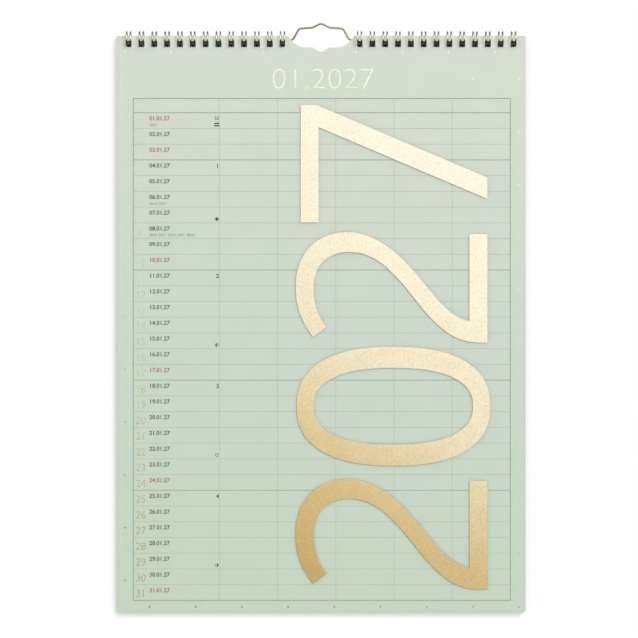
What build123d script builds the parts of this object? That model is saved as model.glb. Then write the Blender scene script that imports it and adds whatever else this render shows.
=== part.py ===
from build123d import *
from math import cos, hypot, pi, radians, sin, sqrt
import os

os.makedirs("parts", exist_ok=True)

# Wire-bound wall calendar: clear front cover, page block, backing board, two twin-loop wires, wire hanger.
# Millimetres, +Z up, front towards -Y, origin at the underside of the hanger's crest, where a nail holds it.

# Sheets
sheet_width = 270.0
sheet_height = 381.0
top_corner_radius = 1.0
bottom_corner_radius = 3.0
cover_thickness = 0.3
cover_inset = 2.0
leaf_count = 13
leaf_thickness = 0.14
board_thickness = 0.7

# Punched holes, three to the inch, with pitch places left out in the middle for the hanger
hole_pitch = 25.4 / 3
hole_size = 4.0
hole_margin = 3.35
loops_per_side = 13
pitches_left_out = 5

# Notch in the top edge: straight flanks, a flat floor and a deeper dip for the nail
notch_half_width = 22.0
notch_floor_half_width = 15.6
notch_floor_depth = 7.65
notch_flank_radius = 12.0
notch_dip_half_width = 5.2
notch_dip_depth = 11.2
notch_shoulder_radius = 2.5
notch_dip_radius = 3.0

# Twin-loop wire
wire_diameter = 0.9
loop_inner_diameter = 8.4
loop_rise = 3.0
twin_spacing = 2.5
heel_bend_radius = 1.8
heel_angle = 35.0
nest_gap = 0.15
loop_chords = 12
bend_chords = 2
wire_facets = 6

# Hanger wire
hanger_wire_diameter = 1.2
hanger_wire_facets = 12
hanger_length = 230.0
hanger_leg_drop = 2.4
foot_half_width = 18.6
shoulder_half_width = 14.6
shoulder_rise = 7.4
hump_half_width = 5.5
hump_rise = 8.1
crest_rise = 11.0
bend_radius = 2.5
crest_radius = 4.0

# Clearances
cover_swing_clearance = 0.08
leg_clearance = 0.2

# Cover hinge: it turns about a line a little in front of the film and below its top edge
pivot_forward = 0.5
pivot_drop = 1.03

wire_radius = wire_diameter / 2
hanger_wire_radius = hanger_wire_diameter / 2

# Depths from the middle of the cover film, growing towards the wall
cover_front = -cover_thickness / 2
cover_back = cover_thickness / 2
pages_front = hypot(pivot_drop, pivot_forward + cover_back) - pivot_forward + cover_swing_clearance
pages_back = pages_front + leaf_count * leaf_thickness
board_back = pages_back + board_thickness
leg_depth = board_back + leg_clearance + hanger_wire_radius
loop_back_inside = leg_depth + hanger_wire_radius + leg_clearance

# Ring centre and the height of the sheets' top edge below the hang point
ring_radius = loop_inner_diameter / 2 + wire_radius
ring_depth = loop_back_inside - loop_inner_diameter / 2
crest_slope = hypot(hump_half_width, crest_rise - hump_rise)
crest_height = crest_rise - crest_radius * (crest_slope / hump_half_width - 1)
leg_height = hanger_wire_radius - crest_height
top_edge = leg_height + hanger_leg_drop
ring_height = top_edge + loop_rise - wire_radius - ring_radius
depth_shift = -leg_depth
group_offset = hole_pitch * (loops_per_side + pitches_left_out) / 2

print("top edge", round(top_edge, 3), "cover middle", round(depth_shift, 3))
print("cover pivot y, z", round(depth_shift - pivot_forward, 3), round(top_edge - pivot_drop, 3))
print("leg axis z", round(leg_height, 3))
print("ring centre y, z", round(depth_shift + ring_depth, 3), round(ring_height, 3), "radius", ring_radius)


def wire_section(radius, facets):
    """A many-sided section, on the current sketch plane, with the round wire's cross-section area."""
    return RegularPolygon(radius=radius * sqrt(2 * pi / (facets * sin(2 * pi / facets))), side_count=facets)


def sheet(front_depth, back_depth, inset=0.0):
    """A punched and notched sheet between two depths, drawn in by the inset at its sides and bottom."""
    hole_height = top_edge - hole_margin - hole_size / 2
    height = sheet_height - inset
    with BuildPart() as body:
        with BuildSketch(Plane.XZ.offset(-(back_depth + depth_shift))):
            with Locations((0, top_edge - height / 2)):
                Rectangle(sheet_width - 2 * inset, height)
            fillet(vertices().group_by(Axis.Y)[0], bottom_corner_radius)
            fillet(vertices().group_by(Axis.Y)[-1], top_corner_radius)
            add(notch.sketch, mode=Mode.SUBTRACT)
            with Locations((-group_offset, hole_height), (group_offset, hole_height)):
                with GridLocations(hole_pitch, hole_size, loops_per_side, 1):
                    Rectangle(hole_size, hole_size, mode=Mode.SUBTRACT)
        extrude(amount=back_depth - front_depth)
    return body.part


with BuildSketch() as notch:
    with BuildLine():
        Polyline(
            (-notch_half_width, top_edge),
            (-notch_floor_half_width, top_edge - notch_floor_depth),
            (-notch_dip_half_width, top_edge - notch_floor_depth),
            (0, top_edge - notch_dip_depth),
            (notch_dip_half_width, top_edge - notch_floor_depth),
            (notch_floor_half_width, top_edge - notch_floor_depth),
            (notch_half_width, top_edge),
            close=True,
        )
    make_face()
    floor_corners = vertices().group_by(Axis.Y)[1].sort_by(Axis.X)
    fillet([floor_corners[0], floor_corners[-1]], notch_flank_radius)
    fillet(vertices().group_by(Axis.Y)[0], notch_dip_radius)
    shoulders = [v for v in vertices() if abs(abs(v.X) - notch_dip_half_width) < 0.01]
    fillet(shoulders, notch_shoulder_radius)

# Clear film cover, a little smaller than the leaves
front_cover = sheet(cover_front, cover_back, cover_inset)
front_cover.label = "front_cover"
export_step(front_cover, "parts/front_cover.step")

# Leaves, closed up as one block
page_block = sheet(pages_front, pages_back)
page_block.label = "page_block"
export_step(page_block, "parts/page_block.step")

# Backing board
backing_board = sheet(pages_back, board_back)
backing_board.label = "backing_board"
export_step(backing_board, "parts/backing_board.step")


def on_ring(x, angle, ahead=0.0):
    """A point on the ring at an angle up from its rear, moved ahead along the tangent."""
    y = depth_shift + ring_depth + ring_radius * cos(angle) - ahead * sin(angle)
    z = ring_height + ring_radius * sin(angle) + ahead * cos(angle)
    return (x, y, z)


# Where the wire turns: the heel below the rear level, and the hairpin's tip coming up to it
heel_start = -radians(heel_angle) + heel_bend_radius / ring_radius
nest_reach = twin_spacing / 2 + heel_bend_radius + wire_diameter + nest_gap
nest_depth = sqrt(nest_reach**2 - (twin_spacing / 2 + heel_bend_radius) ** 2)
tip_start = heel_start - nest_depth / ring_radius


def comb_points(middle):
    """The centre line of one comb: every loop is a hairpin, and heels join it to the next."""
    points = []
    sweep_angle = 2 * pi + tip_start - heel_start
    for index in range(loops_per_side):
        x = middle + hole_pitch * (index - (loops_per_side - 1) / 2)
        leg = [heel_start + sweep_angle * step / loop_chords for step in range(loop_chords + 1)]
        points += [on_ring(x - twin_spacing / 2, angle) for angle in leg]
        for step in range(1, 2 * bend_chords):
            turn = pi * step / (2 * bend_chords)
            points.append(on_ring(x - twin_spacing / 2 * cos(turn), tip_start, twin_spacing / 2 * sin(turn)))
        points += [on_ring(x + twin_spacing / 2, angle) for angle in reversed(leg)]
        if index < loops_per_side - 1:
            turns = [pi / 2 * step / bend_chords for step in range(1, bend_chords + 1)]
            near = x + twin_spacing / 2 + heel_bend_radius
            far = x + hole_pitch - twin_spacing / 2 - heel_bend_radius
            down = [-heel_bend_radius * sin(turn) for turn in turns]
            across = [heel_bend_radius * cos(turn) for turn in turns]
            points += [on_ring(near - a, heel_start, d) for a, d in zip(across, down)]
            points += [on_ring(far + a, heel_start, d) for a, d in zip(reversed(across), reversed(down))]
    return points


for side, name in ((-1, "binding_wire_left"), (1, "binding_wire_right")):
    with BuildPart() as comb:
        with BuildLine() as centre_line:
            Polyline(*comb_points(side * group_offset))
        with BuildSketch(Plane(origin=centre_line.line @ 0, z_dir=centre_line.line % 0)):
            wire_section(wire_radius, wire_facets)
        sweep(transition=Transition.RIGHT)
    comb.part.label = name
    export_step(comb.part, f"parts/{name}.step")

# Hanger: two straight legs inside the loops, and a bail bent up in the middle
with BuildPart() as hanger:
    with BuildLine() as bail:
        FilletPolyline(
            (-hanger_length / 2, 0, leg_height),
            (-foot_half_width, 0, leg_height),
            (-shoulder_half_width, 0, leg_height + shoulder_rise),
            (-hump_half_width, 0, leg_height + hump_rise),
            (0, 0, leg_height + crest_rise),
            (hump_half_width, 0, leg_height + hump_rise),
            (shoulder_half_width, 0, leg_height + shoulder_rise),
            (foot_half_width, 0, leg_height),
            (hanger_length / 2, 0, leg_height),
            radius=[bend_radius] * 2 + [crest_radius] * 3 + [bend_radius] * 2,
        )
    with BuildSketch(Plane(origin=bail.line @ 0, z_dir=bail.line % 0)):
        wire_section(hanger_wire_radius, hanger_wire_facets)
    sweep()
hanger.part.label = "hanger"
export_step(hanger.part, "parts/hanger.step")
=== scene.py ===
import math

import bmesh
import bpy
from mathutils import Matrix, Vector


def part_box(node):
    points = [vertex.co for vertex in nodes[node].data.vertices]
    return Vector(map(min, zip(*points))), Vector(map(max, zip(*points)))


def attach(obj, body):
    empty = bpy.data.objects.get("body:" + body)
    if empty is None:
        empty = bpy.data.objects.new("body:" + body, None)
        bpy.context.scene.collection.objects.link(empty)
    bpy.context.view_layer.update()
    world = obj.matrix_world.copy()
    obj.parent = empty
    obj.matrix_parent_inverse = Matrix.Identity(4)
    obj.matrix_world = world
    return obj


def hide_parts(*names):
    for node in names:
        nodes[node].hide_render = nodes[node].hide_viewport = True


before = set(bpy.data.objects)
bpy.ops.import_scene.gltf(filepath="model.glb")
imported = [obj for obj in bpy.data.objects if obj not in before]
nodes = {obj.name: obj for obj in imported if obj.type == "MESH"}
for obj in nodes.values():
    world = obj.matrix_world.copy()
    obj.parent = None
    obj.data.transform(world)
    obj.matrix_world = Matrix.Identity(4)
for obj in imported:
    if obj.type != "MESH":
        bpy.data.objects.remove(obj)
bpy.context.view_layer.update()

sheetLow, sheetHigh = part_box("page_block")
filmLow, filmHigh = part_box("front_cover")
boardLow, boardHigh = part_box("backing_board")
sheetHeight = sheetHigh.z - sheetLow.z
millimetre = 0.001

# The photo is square on, so one scale places everything.
# In pixels: the sheet's left edge, its top edge and its width, and the photo's side
photo = {"left": 116.5, "top": 35.9, "width": 409.1, "side": 638}
pixel = (sheetHigh.x - sheetLow.x) / photo["width"]
print("frame loaded, one pixel is", round(pixel / millimetre, 4), "mm")


def acrossAt(px):
    return sheetLow.x + (px - photo["left"]) * pixel


def heightAt(py):
    return sheetHigh.z - (py - photo["top"]) * pixel


# Small helpers for meshes and node trees

def addObject(name, data):
    thing = bpy.data.objects.new(name, data)
    bpy.context.scene.collection.objects.link(thing)
    return thing


def evaluatedMesh(thing):
    bpy.context.view_layer.update()
    return bpy.data.meshes.new_from_object(thing.evaluated_get(bpy.context.evaluated_depsgraph_get()))


def joinDoubles(mesh, reach=1e-7):
    work = bmesh.new()
    work.from_mesh(mesh)
    bmesh.ops.remove_doubles(work, verts=work.verts, dist=reach)
    bmesh.ops.dissolve_degenerate(work, edges=work.edges, dist=reach)
    bmesh.ops.recalc_face_normals(work, faces=work.faces)
    work.to_mesh(mesh)
    work.free()


def addNode(tree, kind, inputs=None, **settings):
    node = tree.nodes.new(kind)
    for name, value in settings.items():
        setattr(node, name, value)
    for socket, value in (inputs or {}).items():
        if isinstance(value, bpy.types.NodeSocket):
            tree.links.new(value, node.inputs[socket])
        else:
            node.inputs[socket].default_value = value
    return node


def compute(tree, operation, *values):
    return addNode(tree, "ShaderNodeMath", dict(enumerate(values)), operation=operation).outputs[0]


def startTree(name, inputs):
    tree = bpy.data.node_groups.new(name, "GeometryNodeTree")
    tree.interface.new_socket("Geometry", in_out="INPUT", socket_type="NodeSocketGeometry")
    for label, kind in inputs.items():
        tree.interface.new_socket(label, in_out="INPUT", socket_type="NodeSocket" + kind)
    tree.interface.new_socket("Geometry", in_out="OUTPUT", socket_type="NodeSocketGeometry")
    return tree, addNode(tree, "NodeGroupInput").outputs


def endTree(tree, geometry, material):
    real = addNode(tree, "GeometryNodeRealizeInstances", {"Geometry": geometry})
    dressed = addNode(tree, "GeometryNodeSetMaterial", {"Geometry": real.outputs[0], "Material": material})
    addNode(tree, "NodeGroupOutput", {"Geometry": dressed.outputs[0]})
    return tree


def copyAlong(tree, count, step, instance, first=None):
    # Copies of a shape at even steps along a straight line
    line = addNode(tree, "GeometryNodeMeshLine", {"Count": count, "Offset": step})
    if first is not None:
        tree.links.new(first, line.inputs["Start Location"])
    return addNode(tree, "GeometryNodeInstanceOnPoints", {
        "Points": line.outputs["Mesh"], "Instance": instance}).outputs[0]


def growPiece(name, tree, values, seed):
    carrier = addObject(name + "Seed", seed)
    modifier = carrier.modifiers.new("Grow", "NODES")
    modifier.node_group = tree
    sockets = {item.name: item.identifier for item in tree.interface.items_tree if item.in_out == "INPUT"}
    for label, value in values.items():
        modifier[sockets[label]] = value
    grown = evaluatedMesh(carrier)
    carrier.modifiers.remove(modifier)
    bpy.data.objects.remove(carrier)
    grown.name = name
    return addObject(name, grown)


def pointMesh(name, points, edges=()):
    mesh = bpy.data.meshes.new(name)
    mesh.from_pydata([tuple(p) for p in points], list(edges), [])
    return mesh


# Small helpers for shading

noiseRange = (0.3, 0.7)
white = (1, 1, 1, 1)


def linear(color):
    # An sRGB colour from 0 to 255, as linear light
    return tuple(v / 255 / 12.92 if v < 11 else ((v / 255 + 0.055) / 1.055) ** 2.4 for v in color)


def newMaterial(name, color, roughness, metallic=0.0, specular=0.5):
    material = bpy.data.materials.new(name)
    material.use_nodes = True
    shader = material.node_tree.nodes["Principled BSDF"]
    shader.inputs["Base Color"].default_value = (*linear(color), 1.0)
    shader.inputs["Roughness"].default_value = roughness
    shader.inputs["Metallic"].default_value = metallic
    shader.inputs["Specular IOR Level"].default_value = specular
    return material, material.node_tree, shader


def place(tree):
    return addNode(tree, "ShaderNodeTexCoord").outputs["Object"]


def placeAxes(tree):
    return addNode(tree, "ShaderNodeSeparateXYZ", {"Vector": place(tree)}).outputs


def noise(tree, scale, detail, rough=0.55):
    settings = {"Vector": place(tree), "Scale": scale, "Detail": detail, "Roughness": rough}
    return addNode(tree, "ShaderNodeTexNoise", settings, noise_dimensions="3D").outputs["Fac"]


def spread(tree, value, low, high, fromLow=0.0, fromHigh=1.0):
    settings = {"Value": value, "From Min": fromLow, "From Max": fromHigh, "To Min": low, "To Max": high}
    return addNode(tree, "ShaderNodeMapRange", settings).outputs["Result"]


def vary(tree, scale, detail, low, high):
    # Noise that goes from low to high
    return spread(tree, noise(tree, scale, detail), low, high, *noiseRange)


def plainColor(tree, color):
    base = addNode(tree, "ShaderNodeRGB")
    base.outputs[0].default_value = (*linear(color), 1.0)
    return base.outputs[0]


def ramp(tree, value, stops):
    node = addNode(tree, "ShaderNodeValToRGB", {"Fac": value})
    band = node.color_ramp.elements
    for index, (position, color) in enumerate(stops):
        stop = band[index] if index < 2 else band.new(position)
        stop.position = position
        stop.color = (*linear(color), 1.0)
    return node.outputs["Color"]


def tint(tree, color, value):
    # Multiplies a colour by a value or by another colour
    node = addNode(tree, "ShaderNodeMix", data_type="RGBA", blend_type="MULTIPLY")
    node.inputs["Factor"].default_value = 1.0
    tree.links.new(color, node.inputs["A"])
    tree.links.new(value, node.inputs["B"])
    return node.outputs["Result"]


def along(tree, vector, direction):
    dot = addNode(tree, "ShaderNodeVectorMath", {0: vector, 1: direction}, operation="DOT_PRODUCT")
    return dot.outputs["Value"]


def slope(tree, direction, start, length):
    # How far a point lies along a direction: 0 at start, 1 a length further
    return spread(tree, along(tree, place(tree), direction), 0.0, 1.0, start, start + length)


def roughen(tree, shader, heights, strength, distance):
    bump = addNode(tree, "ShaderNodeBump", {"Height": heights, "Strength": strength, "Distance": distance})
    tree.links.new(bump.outputs["Normal"], shader.inputs["Normal"])


# Paper, board, film, inks, foils and wire. A noise is its scale and detail, and the values it goes between

paper = {
    "stops": [(0.0, (194, 209, 189)), (0.45, (200, 213, 200)), (1.0, (211, 218, 204))],
    "towards": (0.18, 0, 1), "plainRoughness": 0.6, "roughness": (0.55, 0.7), "specular": 0.2,
    "mottle": (55.0, 3.0, 0.988, 1.012), "fibres": (1400.0, 5.0), "bump": (0.25, 0.00003),
    # What the film leaves bare, and how soft its edge is
    "margin": (255, 250, 255), "marginEdge": 0.0002,
    # Painted light under the loops: how much lighter, their middle, and how far that reaches to the sides and
    # down
    "glint": 1.18, "loopsMiddle": 0.0762, "loopsReach": (0.052, 0.054), "loopsLow": (-0.0154, -0.0147),
}


def makePaper():
    material, tree, shader = newMaterial(
        "printed_paper", paper["stops"][1][1], paper["plainRoughness"], specular=paper["specular"])
    tone = ramp(tree, slope(tree, paper["towards"], sheetLow.z, sheetHeight), paper["stops"])
    mottle = vary(tree, *paper["mottle"])
    # The margin that the film leaves bare is a little less green
    spot, edge = placeAxes(tree), paper["marginEdge"]
    side = compute(tree, "ABSOLUTE", spot["X"])
    beside = spread(tree, side, 0.0, 1.0, filmHigh.x, filmHigh.x + edge)
    below = spread(tree, spot["Z"], 1.0, 0.0, filmLow.z - edge, filmLow.z)
    bare = compute(tree, "MAXIMUM", beside, below)
    margin = ramp(tree, bare, [(0.0, (255, 255, 255)), (1.0, paper["margin"])])
    # Painted light: the paper is lighter under the loops, where the photo shows none of their shade
    away = compute(tree, "ABSOLUTE", compute(tree, "SUBTRACT", side, paper["loopsMiddle"]))
    under = compute(tree, "MULTIPLY", spread(tree, away, 1.0, 0.0, *paper["loopsReach"]),
                    spread(tree, spot["Z"], 0.0, 1.0, *paper["loopsLow"]))
    mottle = compute(tree, "MULTIPLY", mottle, spread(tree, under, 1.0, paper["glint"]))
    tree.links.new(tint(tree, tint(tree, tone, mottle), margin), shader.inputs["Base Color"])
    fibres = noise(tree, *paper["fibres"])
    tree.links.new(spread(tree, fibres, *paper["roughness"]), shader.inputs["Roughness"])
    roughen(tree, shader, fibres, *paper["bump"])
    return material


board = {
    "pulp": [(0.3, (146, 141, 128)), (0.55, (163, 157, 143)), (0.75, (178, 172, 158))],
    "pulpGrain": (420.0, 6.0, 0.7), "flecks": (1500.0, 2.0), "fleckTone": (0.75, 1.04),
    "fleckRange": (0.28, 0.42), "roughness": 0.85, "specular": 0.2, "bump": (0.5, 0.00008),
}


def makeBoard():
    material, tree, shader = newMaterial(
        "grey_board", board["pulp"][1][1], board["roughness"], specular=board["specular"])
    pulp = noise(tree, *board["pulpGrain"])
    flecks = spread(tree, noise(tree, *board["flecks"]), *board["fleckTone"], *board["fleckRange"])
    tree.links.new(tint(tree, ramp(tree, pulp, board["pulp"]), flecks), shader.inputs["Base Color"])
    roughen(tree, shader, pulp, *board["bump"])
    return material


film = {
    "color": (246, 250, 244), "roughness": 0.08, "ior": 1.5, "alpha": (0.05, 0.75), "facing": 0.35,
    "facingFrom": 0.25, "waves": (9.0, 1.0), "bump": (0.1, 0.0005),
}


def makeFilm():
    material, tree, shader = newMaterial("clear_film", film["color"], film["roughness"])
    shader.inputs["IOR"].default_value = film["ior"]
    facing = addNode(tree, "ShaderNodeLayerWeight", {"Blend": film["facing"]}).outputs["Facing"]
    tree.links.new(spread(tree, facing, *film["alpha"], film["facingFrom"], 1.0), shader.inputs["Alpha"])
    roughen(tree, shader, noise(tree, *film["waves"]), *film["bump"])
    material.surface_render_method = "BLENDED"
    return material


ink = {
    "frame": (146, 162, 143), "row": (156, 172, 152), "week": (150, 166, 147), "dark": (34, 46, 40),
    "red": (160, 76, 70), "note": (112, 124, 114), "moon": (22, 28, 22), "mark": (104, 30, 32),
    "roughness": 0.55, "specular": 0.25, "cover": (2600.0, 2.0, 0.94, 1.06), "bump": (0.2, 0.00001),
}


def makeInk(name, color):
    material, tree, shader = newMaterial(name, color, ink["roughness"], specular=ink["specular"])
    cover = vary(tree, *ink["cover"])
    tree.links.new(tint(tree, plainColor(tree, color), cover), shader.inputs["Base Color"])
    roughen(tree, shader, cover, *ink["bump"])
    return material


# Painted reflection: the year's foil goes from pale at the top right to gold at the bottom left, as a
# slanting light leaves it, and the dates and dots are painted the same way, gold low down and pale high up
foil = {
    "roughness": 0.22, "uneven": 0.05, "creases": (900.0, 4.0, 0.6), "bump": (0.3, 0.00004),
    "clouds": (120.0, 3.0, 0.97, 1.02), "grains": (650.0, 2.0, 0.93, 1.05),
    "year": [(0.0, (252, 245, 227)), (0.36, (251, 241, 212)), (0.6, (240, 227, 191)), (0.82, (219, 193, 138)),
             (1.0, (205, 175, 113))],
    "title": [(0.0, (246, 248, 228)), (1.0, (242, 245, 224))],
    "dates": [(0.0, (178, 161, 106)), (0.45, (207, 196, 152)), (0.8, (220, 224, 196)),
              (1.0, (216, 226, 204))],
    "dots": [(0.0, (138, 151, 130)), (0.1, (163, 176, 156)), (0.36, (198, 208, 187)), (0.72, (224, 232, 214)),
             (1.0, (234, 242, 224))],
    "yearTowards": (-0.52, 0, -0.82), "yearFrom": (487.8, 104.8), "yearTo": (301.0, 560.0),
    "upwards": (0, 0, 1), "dotsTowards": (0.5, 0, 1),
}


def makeFoil(name, stops, direction, start, length):
    material, tree, shader = newMaterial(name, stops[0][1], foil["roughness"], metallic=1.0)
    creases = noise(tree, *foil["creases"])
    clouds, grains = vary(tree, *foil["clouds"]), vary(tree, *foil["grains"])
    # Painted reflection: the colour is graded along a direction, as a slanting light leaves the foil
    tone = ramp(tree, slope(tree, direction, start, length), stops)
    tree.links.new(tint(tree, tint(tree, tone, clouds), grains), shader.inputs["Base Color"])
    smooth, rough = foil["roughness"] - foil["uneven"], foil["roughness"] + foil["uneven"]
    tree.links.new(spread(tree, creases, smooth, rough), shader.inputs["Roughness"])
    roughen(tree, shader, creases, *foil["bump"])
    return material


def makeYearFoil():
    direction = Vector(foil["yearTowards"])
    start, end = (direction.dot(Vector((acrossAt(x), 0, heightAt(y))))
                  for x, y in (foil["yearFrom"], foil["yearTo"]))
    return makeFoil("year_foil", foil["year"], direction, start, end - start)


wireCoat = {
    "loops": (224, 216, 190), "hanger": (150, 142, 114), "plainRoughness": 0.36, "roughness": (0.3, 0.42),
    "wear": (700.0, 4.0, 0.93, 1.05), "drawn": (2200.0, 2.0), "bump": (0.15, 0.00002),
    # Painted shade: how bright the loops are in the holes and behind the board, and the heights between which
    # they darken
    "inHoles": 0.08, "behind": 0.45, "holesFrom": (-0.0111, -0.0097),
}


def makeWire(name, color, inHoles, behind):
    material, tree, shader = newMaterial(name, color, wireCoat["plainRoughness"], metallic=1.0)
    worn = tint(tree, plainColor(tree, color), vary(tree, *wireCoat["wear"]))
    # Painted shade: the photo shows the loops much darker where they pass through the sheets, and they stay
    # about half as bright behind the board
    spot = placeAxes(tree)
    shade = compute(tree, "MAXIMUM", spread(tree, spot["Z"], inHoles, 1.0, *wireCoat["holesFrom"]),
                    spread(tree, spot["Y"], 0.0, behind, boardLow.y, boardHigh.y))
    tree.links.new(tint(tree, worn, shade), shader.inputs["Base Color"])
    drawn = noise(tree, *wireCoat["drawn"])
    tree.links.new(spread(tree, drawn, *wireCoat["roughness"]), shader.inputs["Roughness"])
    roughen(tree, shader, drawn, *wireCoat["bump"])
    return material


paperLook = makePaper()
boardLook = makeBoard()
filmLook = makeFilm()
wireLook = makeWire("champagne_wire", wireCoat["loops"], wireCoat["inHoles"], wireCoat["behind"])
hangerLook = makeWire("hanger_wire", wireCoat["hanger"], 1.0, 1.0)
frameInk = makeInk("rule_ink_dark", ink["frame"])
rowInk = makeInk("rule_ink_light", ink["row"])
weekInk = makeInk("rule_ink_middle", ink["week"])
darkInk = makeInk("day_ink_dark", ink["dark"])
redInk = makeInk("day_ink_red", ink["red"])
noteInk = makeInk("note_ink_grey", ink["note"])
moonInk = makeInk("moon_ink_black", ink["moon"])
markInk = makeInk("mark_ink_red", ink["mark"])
yearFoil = makeYearFoil()
titleFoil = makeFoil("title_foil", foil["title"], foil["upwards"], sheetLow.z, sheetHeight)
dateFoil = makeFoil("date_foil", foil["dates"], foil["upwards"], sheetLow.z, sheetHeight)
dotFoil = makeFoil("dot_foil", foil["dots"], foil["dotsTowards"], sheetLow.z, sheetHeight)
print("materials made")


# Leaves: the closed block's outline, thinned to one leaf and stacked. Fill is a leaf's share of its pitch

leaves = {"count": 13, "fill": 0.86, "drift": 0.00005, "seed": 4}


def makeLeafTree():
    tree, given = startTree("LeafStack", {
        "Count": "Int", "Step": "Vector", "Drift": "Vector", "Seed": "Int", "Paper": "Material"})
    copies = copyAlong(tree, given["Count"], given["Step"], given["Geometry"])
    negative = addNode(tree, "ShaderNodeVectorMath", {0: given["Drift"]}, operation="SCALE")
    negative.inputs["Scale"].default_value = -1.0
    random = addNode(tree, "FunctionNodeRandomValue", {
        0: negative.outputs[0], 1: given["Drift"], "Seed": given["Seed"]}, data_type="FLOAT_VECTOR")
    moved = addNode(tree, "GeometryNodeTranslateInstances", {
        "Instances": copies, "Translation": random.outputs[0]})
    return endTree(tree, moved.outputs[0], given["Paper"])


def makeLeaves():
    leaf = nodes["page_block"].data.copy()
    joinDoubles(leaf)
    leaf.materials.clear()
    pitch = (sheetHigh.y - sheetLow.y) / leaves["count"]
    for vertex in leaf.vertices:
        depth = (vertex.co.y - sheetLow.y) / (sheetHigh.y - sheetLow.y)
        vertex.co.y = sheetLow.y + depth * pitch * leaves["fill"]
    values = {"Count": leaves["count"], "Step": (0, pitch, 0), "Drift": (leaves["drift"], 0, leaves["drift"]),
              "Seed": leaves["seed"], "Paper": paperLook}
    return growPiece("page_leaves", makeLeafTree(), values, leaf)


pageLeaves = makeLeaves()
print("leaves stacked", len(pageLeaves.data.polygons))

# Print stands a hair in front of the paper, and what crosses other print lies a layer nearer or further
printed = {"proud": 0.00004, "thick": 0.00003, "layer": 0.00001}
printFace = sheetLow.y - printed["proud"]


# Table rules: each set is a row of thin bars

def makeRuleTree():
    tree, given = startTree("RuleBars", {
        "Count": "Int", "First": "Vector", "Step": "Vector", "Size": "Vector", "Ink": "Material"})
    bar = addNode(tree, "GeometryNodeMeshCube", {"Size": given["Size"]})
    bars = copyAlong(tree, given["Count"], given["Step"], bar.outputs["Mesh"], first=given["First"])
    return endTree(tree, bars, given["Ink"])


# Places in pixels, and the lines' widths in metres
table = {
    "left": 133.3, "right": 510.3, "top": 98.5, "header": 112.7, "bottom": 600.4, "rows": 31,
    "firstColumn": 219.4, "columnStep": 58.2, "columns": 5, "firstSunday": 3, "sundayRules": 4, "week": 7,
    "frameLine": 0.00062, "headerLine": 0.0005, "weekLine": 0.00054, "rowLine": 0.00024,
    "columnLine": 0.00022,
}
rowStep = (table["bottom"] - table["header"]) / table["rows"]
ruleTree = makeRuleTree()


def rowTop(day):
    return table["header"] + rowStep * (day - 1)


def makeRules(name, ink, first, last, count, step, thickness, layer):
    # Bars between two photo points, repeated by a step in pixels
    middle = ((first[0] + last[0]) / 2, (first[1] + last[1]) / 2)
    values = {
        "Count": count,
        "First": (acrossAt(middle[0]), printFace - layer * printed["layer"], heightAt(middle[1])),
        "Step": (step[0] * pixel, 0, -step[1] * pixel),
        "Size": (abs(last[0] - first[0]) * pixel + thickness, printed["thick"],
                 abs(last[1] - first[1]) * pixel + thickness),
        "Ink": ink}
    return growPiece(name, ruleTree, values, bpy.data.meshes.new(name))


def makeTable():
    left, right, top, bottom, header, column = (
        table[side] for side in ("left", "right", "top", "bottom", "header", "firstColumn"))
    tall, wide = bottom - top, right - left
    firstRow, sunday = header + rowStep, rowTop(table["firstSunday"] + 1)
    rules = [
        ("frame_rules_across", frameInk, (left, top), (right, top), 2, (0, tall), table["frameLine"], 0),
        ("frame_rules_up", frameInk, (left, top), (left, bottom), 2, (wide, 0), table["frameLine"], 1),
        ("header_rule", frameInk, (left, header), (right, header), 1, (0, 0), table["headerLine"], 2),
        ("week_rules", weekInk, (left, sunday), (right, sunday), table["sundayRules"],
         (0, table["week"] * rowStep), table["weekLine"], 0),
        ("row_rules", rowInk, (left, firstRow), (right, firstRow), table["rows"] - 1,
         (0, rowStep), table["rowLine"], -1),
        ("column_rules", rowInk, (column, top), (column, bottom), table["columns"],
         (table["columnStep"], 0), table["columnLine"], 1),
    ]
    return [makeRules(*rule) for rule in rules]


tableRules = makeTable()
print("table ruled", len(tableRules), "sets")


# Numerals, from the built-in face. Its figures are 0.7 of the size tall. Steps is how finely curves are cut

figures = {"tall": 0.7, "steps": 3}
upright = Matrix.Rotation(math.pi / 2, 4, "X")


def flatMesh(name, outline):
    setter = addObject(name + "Set", outline)
    mesh = evaluatedMesh(setter)
    bpy.data.objects.remove(setter)
    return mesh


def standUp(name, mesh, spot, material, squeeze=1.0):
    # Turns a flat mesh to face the front, at its spot
    mesh.transform(Matrix.Translation(spot) @ upright @ Matrix.Diagonal((squeeze, 1, 1, 1)))
    joinDoubles(mesh)
    mesh.materials.clear()
    mesh.materials.append(material)
    return addObject(name, mesh)


def setFigures(name, body, ink, spot, tall, wide=None, thin=0.0, align="LEFT", steps=figures["steps"]):
    # Spot is the baseline's start, or its end where figures are aligned right. All sizes are in pixels
    letters = bpy.data.curves.new(name, "FONT")
    letters.body = body
    letters.size = tall * pixel / figures["tall"]
    letters.offset = -thin * pixel / 2
    letters.extrude = printed["thick"] / 2
    letters.resolution_u = steps
    letters.align_x = align
    if "\n" in body:
        letters.space_line = rowStep * pixel / letters.size
    mesh = flatMesh(name, letters)
    squeeze = 1.0
    if wide:
        reach = max(v.co.x for v in mesh.vertices) - min(v.co.x for v in mesh.vertices)
        squeeze = wide * pixel / reach
    return standUp(name, mesh, (acrossAt(spot[0]), printFace, heightAt(spot[1])), ink, squeeze)


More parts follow.
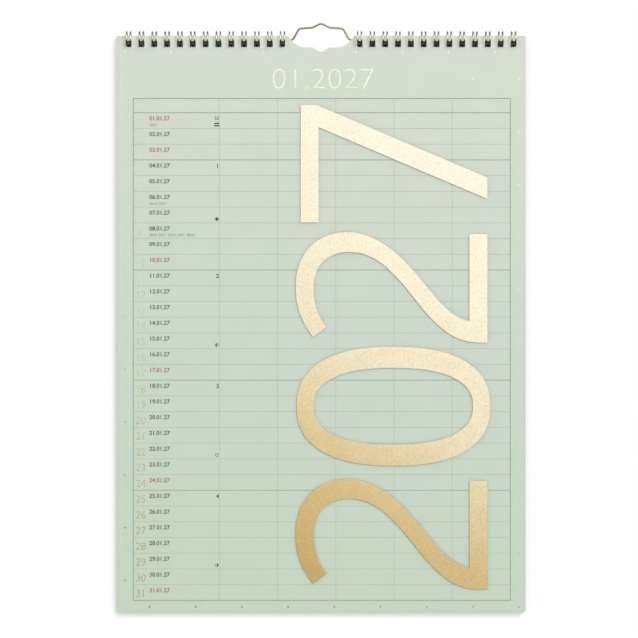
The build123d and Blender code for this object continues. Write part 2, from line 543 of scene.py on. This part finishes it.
# A spot here is its place across, and how far the baseline is below the top of its row
daySet = {
    "numbers": {"spot": (135.6, 12.5), "tall": 7.7, "wide": 10.0, "thin": 0.15},
    "codes": {"spot": (149.2, 7.6), "tall": 4.1, "wide": 20.6, "thin": -0.22},
    "weeks": {"spot": (219.1, 8.0), "tall": 4.2, "thin": -0.25, "align": "RIGHT"},
    "firstWeek": {"spot": (219.1, 7.1), "tall": 3.1, "thin": -0.125, "align": "RIGHT"},
    "notes": {"spot": (149.6, 13.5), "tall": 2.6},
}
redDays = [1] + list(range(table["firstSunday"], table["rows"] + 1, table["week"]))
notes = {1: "2027", 6: "06.01.2027", 8: "08.01.2027  08.01.2027  08.01"}
weeks = {4: "1", 11: "2", 18: "3", 25: "4"}


def dayLines(wanted):
    # One line for each day
    return "\n".join(wanted.get(day, "") for day in range(1, table["rows"] + 1))


def setDays(name, kind, ink, body):
    settings = dict(daySet[kind])
    across, down = settings.pop("spot")
    return setFigures(name, body, ink, (across, table["header"] + down), **settings)


def makeDays():
    days = range(1, table["rows"] + 1)
    codes = {day: f"{day:02d}.01.27" for day in days}
    darkCodes = {day: code for day, code in codes.items() if day not in redDays}
    redCodes = {day: codes[day] for day in redDays}
    return [
        setDays("date_numbers", "numbers", dateFoil, dayLines({day: str(day) for day in days})),
        setDays("day_codes", "codes", darkInk, dayLines(darkCodes)),
        setDays("red_day_codes", "codes", redInk, dayLines(redCodes)),
        setDays("week_numbers", "weeks", darkInk, dayLines(weeks)),
        setDays("first_week_number", "firstWeek", darkInk, "53"),
        setDays("day_notes", "notes", noteInk, dayLines(notes)),
    ]


dayFigures = makeDays()

title = {"spot": (271.0, 89.1), "tall": 21.4, "wide": 101.1, "thin": 1.35, "steps": 12}
monthTitle = setFigures("month_title", "01.2027", titleFoil, **title)
print("figures set")


# Small discs and bars of print: margin dots, moons and the red mark

def makeStampTree():
    tree, given = startTree("PrintStamps", {
        "Sides": "Int", "Radius": "Float", "Depth": "Float", "Ink": "Material"})
    disc = addNode(tree, "GeometryNodeMeshCylinder", {
        "Vertices": given["Sides"], "Radius": given["Radius"], "Depth": given["Depth"]})
    flat = addNode(tree, "GeometryNodeTransform", {"Geometry": disc.outputs["Mesh"]})
    flat.inputs["Rotation"].default_value = (math.pi / 2, 0, 0)
    stamps = addNode(tree, "GeometryNodeInstanceOnPoints", {
        "Points": given["Geometry"], "Instance": flat.outputs["Geometry"]})
    return endTree(tree, stamps.outputs[0], given["Ink"])


stampTree = makeStampTree()
stampSides = 20


def stampAt(name, spots, radius, ink, layer=0):
    face = printFace - layer * printed["layer"]
    seed = pointMesh(name, [(acrossAt(x), face, heightAt(y)) for x, y in spots])
    values = {"Sides": stampSides, "Radius": radius * pixel, "Depth": printed["thick"], "Ink": ink}
    return growPiece(name, stampTree, values, seed)


def platePiece(name, outlines, material, layer=0):
    # Closed plates from flat outlines in photo pixels
    front = printFace - printed["thick"] / 2 - layer * printed["layer"]
    back = printFace + printed["thick"] / 2 - layer * printed["layer"]
    work = bmesh.new()
    for outline in outlines:
        ring = [work.verts.new((acrossAt(x), front, heightAt(y))) for x, y in outline]
        face = work.faces.new(ring)
        pushed = bmesh.ops.extrude_face_region(work, geom=[face])["geom"]
        moved = [v for v in pushed if isinstance(v, bmesh.types.BMVert)]
        bmesh.ops.translate(work, verts=moved, vec=(0, back - front, 0))
    bmesh.ops.recalc_face_normals(work, faces=work.faces)
    mesh = bpy.data.meshes.new(name)
    work.to_mesh(mesh)
    work.free()
    mesh.materials.append(material)
    return addObject(name, mesh)


dots = {
    "radius": 0.95, "step": (46.2, 52.8), "firsts": ((149.5, 78.9), (125.1, 52.4)), "right": 525.0,
    "bottom": 610.0, "clearOfTable": 2, "titleAcross": (230.0, 440.0), "titleDown": (60, 93.1),
}


def inBox(x, y, across, down):
    return across[0] < x < across[1] and down[0] < y < down[1]


def dotSpots():
    # Two grids of dots, half a step apart, seen only outside the table and beside the title
    clear, spots = dots["clearOfTable"], []
    tableAcross = table["left"] - clear, table["right"] + clear
    tableDown = table["top"] - clear, table["bottom"] + clear
    for startX, y in dots["firsts"]:
        while y < dots["bottom"]:
            x = startX
            while x < dots["right"]:
                inTable = inBox(x, y, tableAcross, tableDown)
                inTitle = inBox(x, y, dots["titleAcross"], dots["titleDown"])
                if not inTable and not inTitle:
                    spots.append((x, y))
                x += dots["step"][0]
            y += dots["step"][1]
    return spots


marginDots = stampAt("margin_dots", dotSpots(), dots["radius"], dotFoil)

# The day of each moon, and the share of a disc's radius that its light part takes
moons = {
    "full": 7, "left": 15, "ring": 22, "right": 29, "across": 216.9, "down": 12.0, "radius": 1.7,
    "light": 0.72, "halfSteps": 10,
}


def makeMoons():
    spots = {kind: (moons["across"], rowTop(moons[kind]) + moons["down"])
             for kind in ("full", "left", "ring", "right")}
    discs = stampAt("moon_discs", list(spots.values()), moons["radius"], moonInk)
    # Paper-coloured covers leave the ring and the half moons
    radius = moons["radius"] * moons["light"]
    inner = stampAt("moon_light", [spots["ring"]], radius, paperLook, 2)
    turns = [math.pi * step / moons["halfSteps"] for step in range(moons["halfSteps"] + 1)]
    halves = []
    for kind, side in (("left", 1), ("right", -1)):
        x, y = spots[kind]
        halves.append([(x + side * radius * math.sin(turn), y + radius * math.cos(turn)) for turn in turns])
    return [discs, inner, platePiece("moon_covers", halves, paperLook, 2)]


moonPieces = makeMoons()

redMark = {"left": 214.2, "right": 219.2, "top": 10.0, "bars": 2, "bar": 1.4, "gap": 0.9}


def makeRedMark():
    left, right, bars = redMark["left"], redMark["right"], []
    for index in range(redMark["bars"]):
        top = table["header"] + redMark["top"] + index * (redMark["bar"] + redMark["gap"])
        low = top + redMark["bar"]
        bars.append([(left, top), (right, top), (right, low), (left, low)])
    return platePiece("red_mark", bars, markInk)


redBars = makeRedMark()
print("dots, moons and mark stamped")


# Year foil on the cover: figures that read upwards, in pixels. A third value of 1 marks a corner

year = {
    "seven": [(300.7, 105.0), (300.7, 222.5), (318.6, 222.5), (318.6, 127.2), (487.4, 198.9), (487.4, 177.6),
              (316.4, 105.0)],
    "two": [(312.8, 583.7, 1), (303.0, 567.7, 0), (297.6, 552.1, 0), (295.8, 534.5, 0), (297.3, 518.5, 0),
            (303.4, 502.5, 0), (315.0, 489.2, 0), (329.0, 481.9, 0), (345.9, 478.9, 0), (363.0, 481.2, 0),
            (381.1, 489.2, 0), (398.0, 501.8, 0), (413.6, 517.8, 0), (428.2, 535.2, 0), (443.5, 552.4, 0),
            (456.5, 562.8, 0), (469.4, 568.1, 1), (469.4, 480.7, 1), (487.4, 480.7, 1), (487.4, 589.3, 1),
            (472.1, 588.8, 0), (456.5, 584.4, 0), (443.5, 576.3, 0), (430.5, 564.3, 0), (417.5, 549.0, 0),
            (404.5, 532.9, 0), (393.0, 520.4, 0), (381.1, 509.8, 0), (368.1, 502.4, 0), (355.1, 499.0, 0),
            (342.0, 499.2, 0), (329.0, 503.9, 0), (319.4, 512.7, 0), (314.9, 524.0, 0), (313.7, 536.5, 0),
            (315.4, 550.8, 0), (319.9, 563.3, 0), (326.5, 573.6, 1)],
    "secondTwo": -246.7,    # the shift down the page to the other two
    "noughtMiddle": (393.4, 406.2), "noughtOuter": (96.7, 59.4), "noughtInner": (79.6, 38.3),
    "noughtSquareness": 2.4, "noughtSteps": 96, "proud": 0.00001, "thick": 0.00006, "curveSteps": 8,
}


def noughtRing(radii):
    power = 2 / year["noughtSquareness"]
    points = []
    for step in range(year["noughtSteps"]):
        turn = 2 * math.pi * step / year["noughtSteps"]
        wide = math.copysign(abs(math.cos(turn)) ** power, math.cos(turn))
        tall = math.copysign(abs(math.sin(turn)) ** power, math.sin(turn))
        points.append((year["noughtMiddle"][0] + radii[0] * wide, year["noughtMiddle"][1] + radii[1] * tall))
    return points


def straightSpline(outline, points):
    spline = outline.splines.new("POLY")
    spline.points.add(len(points) - 1)
    for knot, (x, y) in zip(spline.points, points):
        knot.co = (acrossAt(x), heightAt(y), 0, 1)
    spline.use_cyclic_u = True


def curvedSpline(outline, points, shift):
    spline = outline.splines.new("BEZIER")
    spline.bezier_points.add(len(points) - 1)
    for knot, (x, y, corner) in zip(spline.bezier_points, points):
        knot.co = (acrossAt(x), heightAt(y + shift), 0)
        knot.handle_left_type = knot.handle_right_type = "VECTOR" if corner else "AUTO"
    spline.use_cyclic_u = True


def makeYear():
    outline = bpy.data.curves.new("year", "CURVE")
    outline.dimensions = "2D"
    outline.fill_mode = "BOTH"
    outline.extrude = year["thick"] / 2
    outline.resolution_u = year["curveSteps"]
    for points in (year["seven"], noughtRing(year["noughtOuter"]), noughtRing(year["noughtInner"])):
        straightSpline(outline, points)
    for shift in (0.0, year["secondTwo"]):
        curvedSpline(outline, year["two"], shift)
    face = filmLow.y - year["thick"] / 2 - year["proud"]
    return standUp("year_numerals", flatMesh("year", outline), (0, face, 0), yearFoil)


yearNumerals = makeYear()
print("year laid on the cover", len(yearNumerals.data.polygons))


# Wires: a path of edges, turned into a curve and given a round section

def roundWire(tree, path, radius, sides):
    curve = addNode(tree, "GeometryNodeMeshToCurve", {"Mesh": path})
    section = addNode(tree, "GeometryNodeCurvePrimitiveCircle", {"Resolution": sides, "Radius": radius})
    wire = addNode(tree, "GeometryNodeCurveToMesh", {
        "Curve": curve.outputs["Curve"], "Profile Curve": section.outputs["Curve"], "Fill Caps": True})
    return addNode(tree, "GeometryNodeSetShadeSmooth", {"Geometry": wire.outputs["Mesh"]}).outputs[0]


# Millimetres. Wire is its radius, as large as the solid's out to its corners. The pitch is three to the inch
comb = {
    "loops": 13, "pitch": 25.4 / 3, "ring": 4.65, "wire": 0.49, "twin": 2.5, "heelBend": 1.8,
    "heelAngle": 35.0, "nestReach": 1.05, "legSteps": 44, "bendSteps": 12, "sides": 14, "merge": 0.01,
}


def makeCombTree():
    # The seed holds one hairpin and one heel; the heel joins each hairpin to the next
    tree, given = startTree("TwinLoopComb", {
        "Loops": "Int", "Pitch": "Vector", "Radius": "Float", "Sides": "Int", "Merge": "Float",
        "Wire": "Material"})
    heel = addNode(tree, "GeometryNodeInputNamedAttribute", {"Name": "heel"}, data_type="BOOLEAN")
    parts = addNode(tree, "GeometryNodeSeparateGeometry", {
        "Geometry": given["Geometry"], "Selection": heel.outputs["Attribute"]}, domain="EDGE")
    fewer = compute(tree, "SUBTRACT", given["Loops"], 1.0)
    joined = addNode(tree, "GeometryNodeJoinGeometry")
    for count, part in ((given["Loops"], "Inverted"), (fewer, "Selection")):
        tree.links.new(copyAlong(tree, count, given["Pitch"], parts.outputs[part]), joined.inputs[0])
    real = addNode(tree, "GeometryNodeRealizeInstances", {"Geometry": joined.outputs[0]})
    merged = addNode(tree, "GeometryNodeMergeByDistance", {
        "Geometry": real.outputs[0], "Distance": given["Merge"]})
    return endTree(tree, roundWire(tree, merged.outputs[0], given["Radius"], given["Sides"]), given["Wire"])


combTree = makeCombTree()


def combPath(low, high):
    # One loop: a hairpin whose legs run round the ring, and the heel to the next one
    middle = (low + high) / 2 / millimetre
    ring, twin, bend = comb["ring"], comb["twin"] / 2, comb["heelBend"]
    heelStart = bend / ring - math.radians(comb["heelAngle"])
    nestReach = twin + bend + comb["nestReach"]
    tipStart = heelStart - math.sqrt(nestReach ** 2 - (twin + bend) ** 2) / ring
    first = middle.x - comb["pitch"] * (comb["loops"] - 1) / 2

    def onRing(x, turn, ahead=0.0):
        return Vector((
            x, middle.y + ring * math.cos(turn) - ahead * math.sin(turn),
            middle.z + ring * math.sin(turn) + ahead * math.cos(turn)))

    legs = [heelStart + (2 * math.pi + tipStart - heelStart) * step / comb["legSteps"]
            for step in range(comb["legSteps"] + 1)]
    tips = [math.pi * step / comb["bendSteps"] for step in range(1, comb["bendSteps"])]
    hairpin = [onRing(first - twin, turn) for turn in legs]
    hairpin += [onRing(first - twin * math.cos(turn), tipStart, twin * math.sin(turn)) for turn in tips]
    hairpin += [onRing(first + twin, turn) for turn in reversed(legs)]
    turns = [math.pi / 2 * step / comb["bendSteps"] for step in range(comb["bendSteps"] + 1)]
    near = first + twin + bend
    far = first + comb["pitch"] - twin - bend
    heel = [onRing(near - bend * math.cos(turn), heelStart, -bend * math.sin(turn)) for turn in turns]
    turns.reverse()
    heel += [onRing(far + bend * math.cos(turn), heelStart, -bend * math.sin(turn)) for turn in turns]
    return hairpin, heel


def makeComb(name, node):
    low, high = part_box(node)
    hairpin, heel = combPath(low, high)
    points = [p * millimetre for p in hairpin + heel]
    edges = [(i, i + 1) for i in range(len(points) - 1) if i != len(hairpin) - 1]
    seed = pointMesh(name, points, edges)
    marks = seed.attributes.new("heel", "BOOLEAN", "EDGE")
    for index, edge in enumerate(seed.edges):
        marks.data[index].value = edge.vertices[0] >= len(hairpin)
    values = {
        "Loops": comb["loops"], "Pitch": (comb["pitch"] * millimetre, 0, 0),
        "Radius": comb["wire"] * millimetre, "Sides": comb["sides"], "Merge": comb["merge"] * millimetre,
        "Wire": wireLook}
    return growPiece(name, combTree, values, seed)


leftComb = makeComb("twin_loops_left", "binding_wire_left")
rightComb = makeComb("twin_loops_right", "binding_wire_right")
print("combs bent", len(leftComb.data.polygons))


# Millimetres. Right is the right half's corners, out from the middle and up from the legs
hanger = {
    "length": 230.0, "wire": 0.614, "sides": 18, "right": [(5.5, 8.1), (14.6, 7.4), (18.6, 0.0)],
    "crest": 11.0, "bends": [2.5, 2.5, 4.0, 4.0, 4.0, 2.5, 2.5], "bendSteps": 10,
}


def makeHangerTree():
    tree, given = startTree("BentWire", {"Radius": "Float", "Sides": "Int", "Wire": "Material"})
    return endTree(tree, roundWire(tree, given["Geometry"], given["Radius"], given["Sides"]), given["Wire"])


def roundedPath(points, radii):
    # Straight runs with an arc of the given radius at each inner point
    path = [points[0]]
    for before, corner, after, radius in zip(points, points[1:], points[2:], radii):
        back, ahead = (before - corner).normalized(), (after - corner).normalized()
        half = back.angle(ahead) / 2
        middle = corner + (back + ahead).normalized() * radius / math.sin(half)
        start = corner + back * radius / math.tan(half) - middle
        end = corner + ahead * radius / math.tan(half) - middle
        for step in range(hanger["bendSteps"] + 1):
            path.append(middle + start.slerp(end, step / hanger["bendSteps"]).normalized() * radius)
    return path + [points[-1]]


def makeHanger():
    low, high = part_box("hanger")
    legHeight = low.z / millimetre + hanger["wire"]
    right = [(hanger["length"] / 2, 0.0)] + hanger["right"][::-1]
    outline = [(-x, up) for x, up in right] + [(0.0, hanger["crest"])] + right[::-1]
    corners = [Vector((x, 0, legHeight + up)) for x, up in outline]
    points = [p * millimetre for p in roundedPath(corners, hanger["bends"])]
    seed = pointMesh("wire_hanger", points, [(i, i + 1) for i in range(len(points) - 1)])
    values = {"Radius": hanger["wire"] * millimetre, "Sides": hanger["sides"], "Wire": hangerLook}
    return growPiece("wire_hanger", makeHangerTree(), values, seed)


wireHanger = makeHanger()
print("hanger bent", len(wireHanger.data.polygons))

# Every piece on its body; the film and the board keep their solids

for node, look in (("front_cover", filmLook), ("backing_board", boardLook)):
    for holder in nodes[node].material_slots:
        holder.material = look

onPages = tableRules + dayFigures + [monthTitle, marginDots] + moonPieces + [redBars]
for piece in [pageLeaves] + onPages:
    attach(piece, "calendar")
for piece in (leftComb, rightComb):
    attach(piece, "calendar")
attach(wireHanger, "hanger")
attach(yearNumerals, "cover")
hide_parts("page_block")
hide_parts("binding_wire_left")
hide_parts("binding_wire_right")
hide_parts("hanger")
print("pieces ride on their bodies")


# Studio: strips of wall close behind, a pale floor, a lit surround, and one soft lamp from the upper right

strips = {
    "y": 0.0021, "reach": 0.0042, "inset": 0.0008, "paint": 1.0, "cover": 0.62,
    # Painted shade behind the holes: where it lies across and up, how bright it is and how much it covers
    "gapAcross": (0.0245, 0.1285), "gapUp": (-0.0152, -0.0099), "gapPaint": 0.04, "gapCover": 1.0,
}


def wallMaterial(name, brightness, cover):
    # Only the camera sees the wall, and only its front. Cover below 1 lets the background through
    material = bpy.data.materials.new(name)
    material.use_nodes = True
    tree = material.node_tree
    tree.nodes.clear()
    path = addNode(tree, "ShaderNodeLightPath").outputs["Is Camera Ray"]
    back = addNode(tree, "ShaderNodeNewGeometry").outputs["Backfacing"]
    front = addNode(tree, "ShaderNodeMath", {0: path, 1: back}, operation="SUBTRACT", use_clamp=True)
    paint = addNode(tree, "ShaderNodeBsdfDiffuse", {"Color": (brightness, brightness, brightness, 1.0)})
    clear = addNode(tree, "ShaderNodeBsdfTransparent")
    mixed = addNode(tree, "ShaderNodeMixShader", {
        0: spread(tree, front.outputs[0], 0.0, cover), 1: clear.outputs[0], 2: paint.outputs[0]})
    addNode(tree, "ShaderNodeOutputMaterial", {"Surface": mixed.outputs[0]})
    return material


def makeWall():
    # White strips past the sides and bottom take the sheets' soft shadow. Dark ones behind the holes are
    # painted shade
    outer, inner = sheetHigh.x + strips["reach"], sheetHigh.x - strips["inset"]
    low, foot = sheetLow.z - strips["reach"], sheetLow.z + strips["inset"]
    top = sheetHigh.z + strips["reach"]
    near, far = strips["gapAcross"]
    edges = [(-outer, -inner, low, top), (inner, outer, low, top), (-inner, inner, low, foot)]
    shadeStrips = [(-far, -near, *strips["gapUp"]), (near, far, *strips["gapUp"])]
    corners = [(x, strips["y"], z) for left, right, bottom, high in edges + shadeStrips
               for x, z in ((left, bottom), (right, bottom), (right, high), (left, high))]
    mesh = bpy.data.meshes.new("studio_wall")
    mesh.from_pydata(corners, [], [tuple(range(i, i + 4)) for i in range(0, len(corners), 4)])
    mesh.materials.append(wallMaterial("wall_white", strips["paint"], strips["cover"]))
    mesh.materials.append(wallMaterial("wall_painted_shade", strips["gapPaint"], strips["gapCover"]))
    for face in mesh.polygons:
        face.material_index = 1 if face.index >= len(edges) else 0
    wall = addObject("studio_wall", mesh)


ground = {
    "z": -0.46, "half": (0.6, 0.6), "color": (235, 235, 233), "roughness": 0.8, "specular": 0.1, "glow": 0.24,
}


def makeFloor():
    wide, deep = ground["half"]
    across = ((-wide, -deep), (wide, -deep), (wide, deep), (-wide, deep))
    corners = [(x, y, ground["z"]) for x, y in across]
    mesh = bpy.data.meshes.new("studio_floor")
    mesh.from_pydata(corners, [], [(0, 1, 2, 3)])
    material, tree, shader = newMaterial(
        "floor_pale", ground["color"], ground["roughness"], specular=ground["specular"])
    # The camera sees the floor a little paler than it is, so that it meets the white background
    shader.inputs["Emission Color"].default_value = white
    path = addNode(tree, "ShaderNodeLightPath").outputs["Is Camera Ray"]
    tree.links.new(spread(tree, path, 0.0, ground["glow"]), shader.inputs["Emission Strength"])
    mesh.materials.append(material)
    floor = addObject("studio_floor", mesh)


# Level lights the object. Gloss sees full white towards the brightest direction, and down to dim away from it
surround = {"level": 0.72, "dim": 0.13, "dimFrom": 0.2, "dimTo": 0.86, "brightest": (0.0, -0.866, 0.5)}


def makeWorld():
    world = bpy.data.worlds.new("studio_surround")
    bpy.context.scene.world = world
    world.use_nodes = True
    tree = world.node_tree
    tree.nodes.clear()
    path = addNode(tree, "ShaderNodeLightPath").outputs
    ray = addNode(tree, "ShaderNodeTexCoord").outputs["Generated"]
    shown = spread(tree, along(tree, ray, surround["brightest"]), surround["dim"], 1.0,
                   surround["dimFrom"], surround["dimTo"])
    gloss = compute(tree, "MAXIMUM", path["Is Glossy Ray"], path["Is Transmission Ray"])
    strength = compute(tree, "MAXIMUM", spread(tree, gloss, surround["level"], shown), path["Is Camera Ray"])
    light = addNode(tree, "ShaderNodeBackground", {"Color": white, "Strength": strength})
    addNode(tree, "ShaderNodeOutputWorld", {"Surface": light.outputs[0]})


lamp = {"direction": (-0.4, 1.0, -0.47), "strength": 1.25, "angle": 26.0}


def makeLamp():
    light = bpy.data.lights.new("studio_lamp", "SUN")
    light.energy = lamp["strength"]
    light.angle = math.radians(lamp["angle"])
    sun = addObject("studio_lamp", light)
    sun.rotation_euler = Vector(lamp["direction"]).to_track_quat("-Z", "Y").to_euler()


lens = {"length": 200.0, "sensor": 36.0, "clipStart": 0.05}


def makeCamera():
    optics = bpy.data.cameras.new("photo_camera")
    optics.lens = lens["length"]
    optics.sensor_width = lens["sensor"]
    optics.clip_start = lens["clipStart"]
    camera = addObject("photo_camera", optics)
    away = photo["side"] * pixel * lens["length"] / lens["sensor"]
    middle = photo["side"] / 2
    camera.location = (acrossAt(middle), sheetLow.y - away, heightAt(middle))
    camera.rotation_euler = (math.pi / 2, 0, 0)
    bpy.context.scene.camera = camera


makeWall()
makeFloor()
makeWorld()
makeLamp()
makeCamera()
bpy.context.scene.view_settings.view_transform = "Standard"
print("studio ready")
